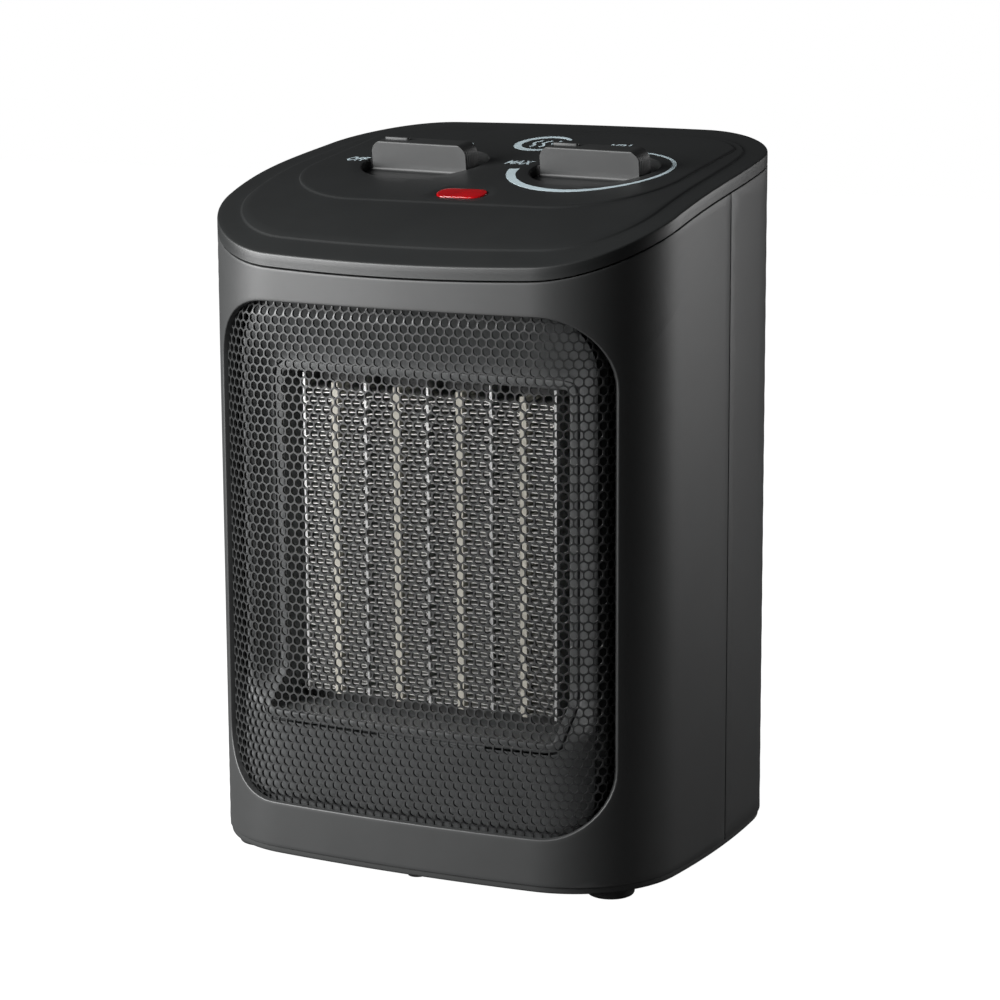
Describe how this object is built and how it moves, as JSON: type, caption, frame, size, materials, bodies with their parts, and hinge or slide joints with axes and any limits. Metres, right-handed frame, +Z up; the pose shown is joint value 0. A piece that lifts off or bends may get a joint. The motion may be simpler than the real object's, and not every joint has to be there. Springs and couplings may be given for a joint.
{
  "type": "ceramic space heater",
  "caption": "Free-standing ceramic fan heater: bowed casing, punched front grille, sloping top with power and thermostat knobs, heating block and axial fan inside.",
  "frame": {"origin": "on the floor, under the centre of the bounding box: the height of the feet's undersides", "axes": "+Z up, the grille faces -Y, +X to the right of someone who looks at the grille"},
  "size_m": [0.188, 0.156, 0.267],
  "materials": {
    "shell_plastic": "fine satin-grained moulded plastic, charcoal grey",
    "cover_plastic": "satin moulded plastic, near black",
    "base_plastic": "matt black",
    "grille_sheet": "fine matt, mid grey",
    "duct_plastic": "matt grey",
    "holder_plastic": "matt black, heat resistant",
    "ptc_ceramic": "matt cream",
    "fin_aluminium": "bright rolled strip",
    "electrode_aluminium": "bright strip",
    "cutout_plastic": "matt",
    "fuse_ceramic": "glazed",
    "shroud_plastic": "matt black",
    "impeller_plastic": "matt black",
    "zinc_steel": "zinc plated",
    "shaft_steel": "ground",
    "rotor_steel": "turned",
    "lamination_steel": "dull laminated iron",
    "bobbin_plastic": "matt ivory",
    "winding_copper": "enamelled copper wire",
    "bracket_steel": "zinc plated",
    "bearing_bronze": "sintered bronze",
    "knob_plastic": "satin moulded plastic, dark grey",
    "switch_plastic": "matt black",
    "switch_shaft_plastic": "natural white",
    "thermostat_ceramic": "matt white",
    "bimetal": "rolled strip",
    "lens_red": "clear red, glossy",
    "lamp_glass": "clear",
    "lamp_holder_plastic": "matt white",
    "plunger_plastic": "matt black",
    "button_plastic": "matt red",
    "gland_rubber": "matt black",
    "foot_rubber": "matt black"
  },
  "bodies": {
    "casing": {"front_shell": "shell_plastic", "rear_shell": "shell_plastic", "top_cover": "cover_plastic", "base_plate": "base_plastic", "front_grille": "grille_sheet", "front_duct": "duct_plastic", "core_top_holder": "holder_plastic", "core_bottom_holder": "holder_plastic", "ptc_bar_1": "ptc_ceramic", "ptc_bar_2": "ptc_ceramic", "ptc_bar_3": "ptc_ceramic", "ptc_bar_4": "ptc_ceramic", "fin_strip_1": "fin_aluminium", "fin_strip_2": "fin_aluminium", "fin_strip_3": "fin_aluminium", "fin_strip_4": "fin_aluminium", "fin_strip_5": "fin_aluminium", "fin_strip_6": "fin_aluminium", "fin_strip_7": "fin_aluminium", "fin_strip_8": "fin_aluminium", "electrode_1": "electrode_aluminium", "electrode_2": "electrode_aluminium", "electrode_3": "electrode_aluminium", "electrode_4": "electrode_aluminium", "electrode_5": "electrode_aluminium", "thermal_cutout": "cutout_plastic", "thermal_fuse": "fuse_ceramic", "fan_shroud": "shroud_plastic", "motor_stator": "lamination_steel", "coil_bobbin": "bobbin_plastic", "coil_winding": "winding_copper", "motor_front_bracket": "bracket_steel", "motor_rear_bracket": "bracket_steel", "front_bearing": "bearing_bronze", "rear_bearing": "bearing_bronze", "motor_screws": "zinc_steel", "rotary_switch": "switch_plastic", "thermostat_base": "thermostat_ceramic", "bimetal_blade": "bimetal", "indicator_lens": "lens_red", "neon_lamp": "lamp_glass", "lamp_holder": "lamp_holder_plastic", "plunger_spring": "zinc_steel", "plunger_guide": "base_plastic", "tip_switch": "switch_plastic", "terminal_block": "thermostat_ceramic", "cord_gland": "gland_rubber", "feet": "foot_rubber", "base_screws": "zinc_steel"},
    "power_knob": {"power_knob": "knob_plastic", "rotary_switch_shaft": "switch_shaft_plastic"},
    "thermostat_knob": {"thermostat_knob": "knob_plastic", "thermostat_spindle": "shaft_steel"},
    "fan_rotor": {"impeller": "impeller_plastic", "impeller_nut": "zinc_steel", "motor_shaft": "shaft_steel", "motor_rotor": "rotor_steel"},
    "tip_plunger": {"tip_plunger": "plunger_plastic"},
    "tip_switch_lever": {"tip_switch_lever": "zinc_steel"},
    "tip_switch_button": {"tip_switch_button": "button_plastic"}
  },
  "joints": [
    {"name": "power_knob_turn", "type": "hinge", "parent": "casing", "child": "power_knob", "pos_m": [-0.0334, 0.0096, 0.25544], "axis": [0, -0.1413, 0.99], "range_deg": [-90, 0]},
    {"name": "thermostat_knob_turn", "type": "hinge", "parent": "casing", "child": "thermostat_knob", "pos_m": [0.0378, 0.0096, 0.25544], "axis": [0, -0.1413, 0.99], "range_deg": [0, 250]},
    {"name": "fan_spin", "type": "hinge", "parent": "casing", "child": "fan_rotor", "pos_m": [0, 0.03, 0.121], "axis": [0, 1, 0], "continuous": true},
    {"name": "tip_plunger_slide", "type": "slide", "parent": "casing", "child": "tip_plunger", "axis": [0, 0, 1], "range_m": [-0.005, 0], "stiffness_N_per_m": 60, "springref_m": -0.012, "deforming": ["plunger_spring"]},
    {"name": "tip_switch_lever_turn", "type": "hinge", "parent": "casing", "child": "tip_switch_lever", "pos_m": [0.016, -0.064, 0.0348], "axis": [0, 1, 0], "range_deg": [-18, 0]},
    {"name": "tip_switch_button_slide", "type": "slide", "parent": "casing", "child": "tip_switch_button", "axis": [0, 0, 1], "range_m": [-0.0016, 0]}
  ],
  "couplings": [
    {"joint": "tip_switch_lever_turn", "follows": "tip_plunger_slide", "rad_per_m": 62.5},
    {"joint": "tip_switch_button_slide", "follows": "tip_plunger_slide", "ratio": 0.3}
  ]
}
